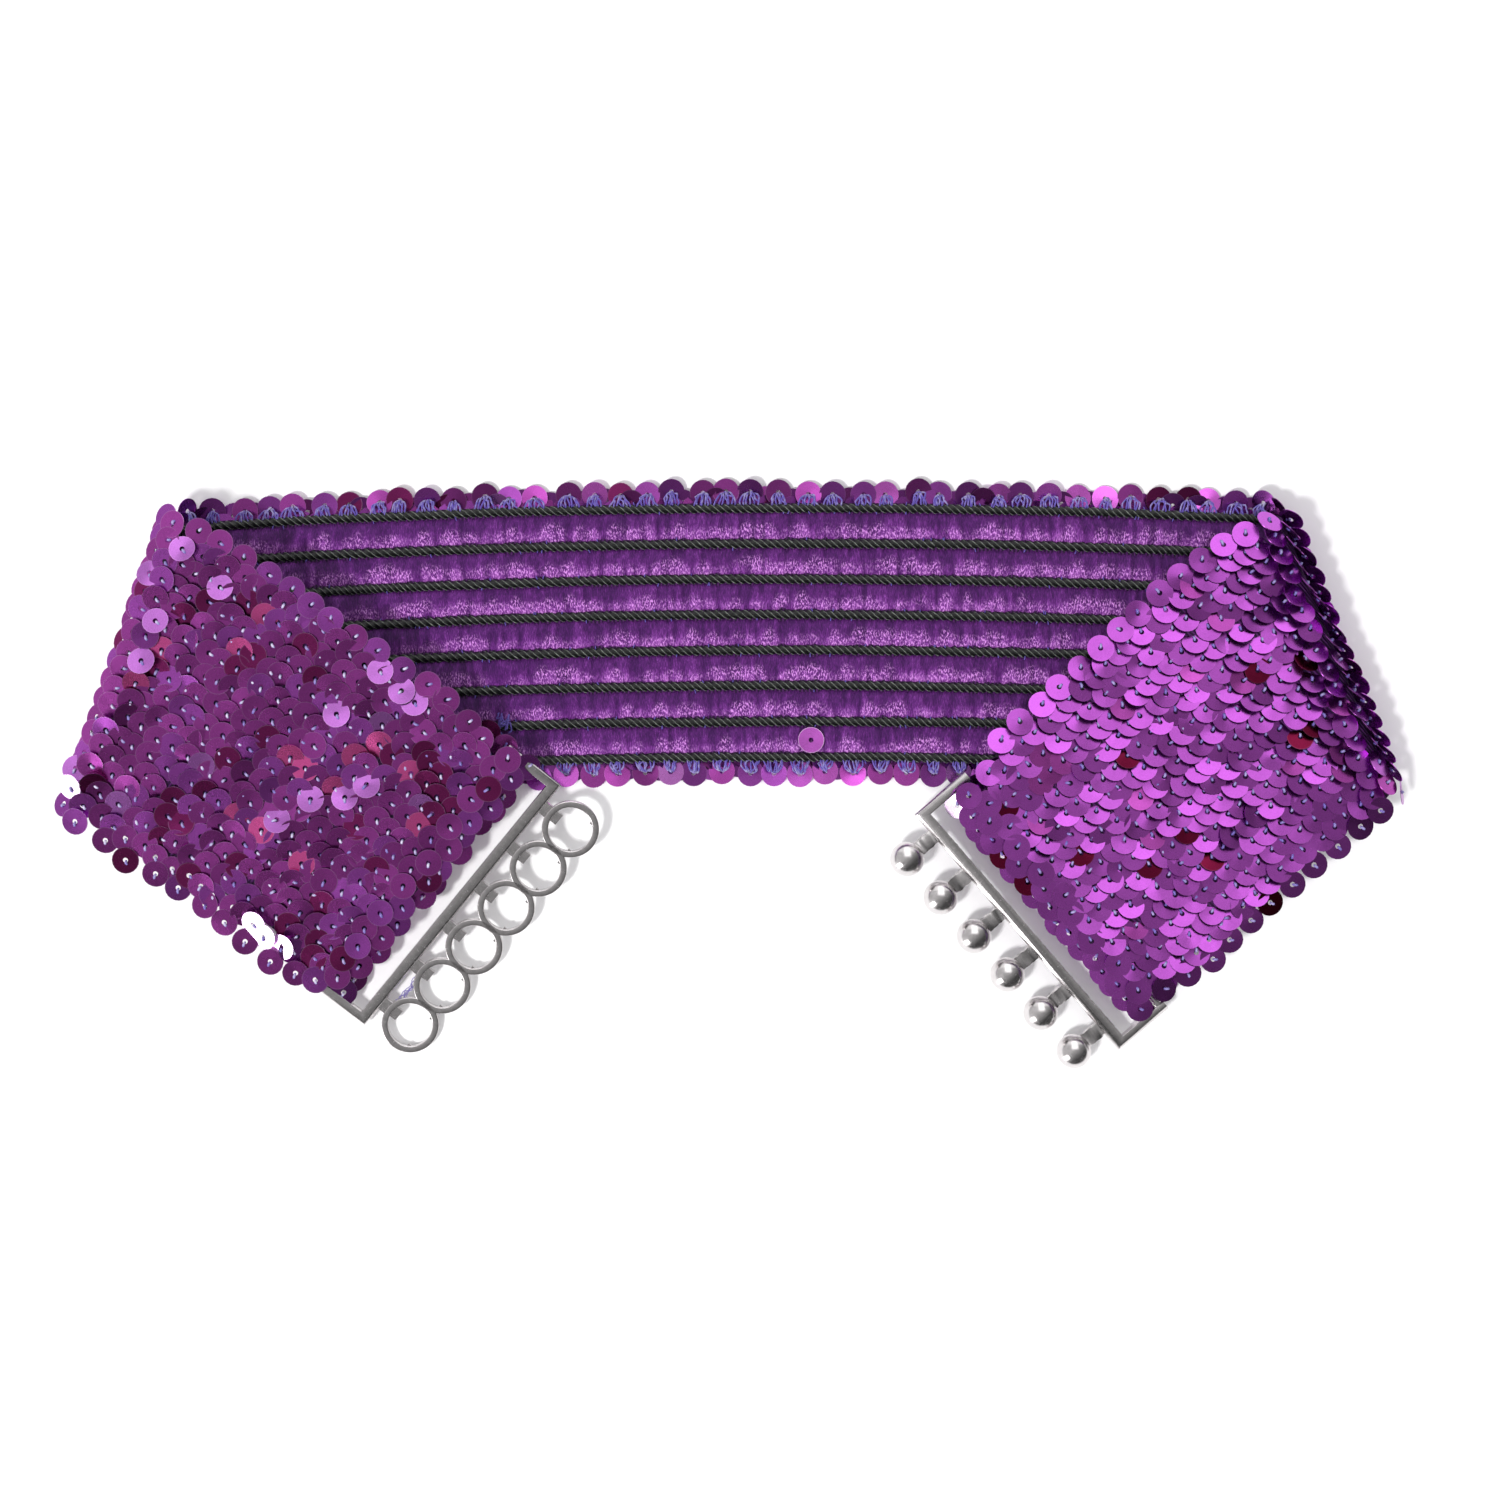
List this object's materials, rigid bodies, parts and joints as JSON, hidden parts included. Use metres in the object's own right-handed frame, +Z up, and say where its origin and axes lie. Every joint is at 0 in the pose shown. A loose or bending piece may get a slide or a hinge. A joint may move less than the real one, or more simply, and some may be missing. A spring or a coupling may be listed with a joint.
{
  "type": "elastic sequin belt with ball and ring clasp",
  "caption": "Wide elastic belt covered in purple sequins, lying open with both ends rolled over, and a metal clasp of ball studs and rings.",
  "frame": {"origin": "on the surface that the belt lies on, under the middle of its outline seen from above", "axes": "+X to the right along the back stretch, +Y towards its upper edge, +Z up from the surface"},
  "size_m": [0.3145, 0.138, 0.0176],
  "materials": {
    "sequin_cloth": "violet sequins sewn over purple chenille on black elastic cords",
    "nickel": "polished nickel-silver plating on cast metal"
  },
  "bodies": {
    "band": {"band": "sequin_cloth"},
    "ring_half": {"clasp_rings": "nickel"},
    "ball_half": {"clasp_balls": "nickel"}
  },
  "joints": [
    {"name": "ring_half_swing", "type": "hinge", "parent": "band", "child": "ring_half", "pos_m": [-0.07418, -0.02205, 0.00695], "axis": [-0.6349, -0.7702, -0.0598], "range_deg": [0, 140]},
    {"name": "ball_half_swing", "type": "hinge", "parent": "band", "child": "ball_half", "pos_m": [0.07754, -0.02791, 0.00615], "axis": [-0.6556, 0.7542, 0.0359], "range_deg": [0, 140]}
  ]
}
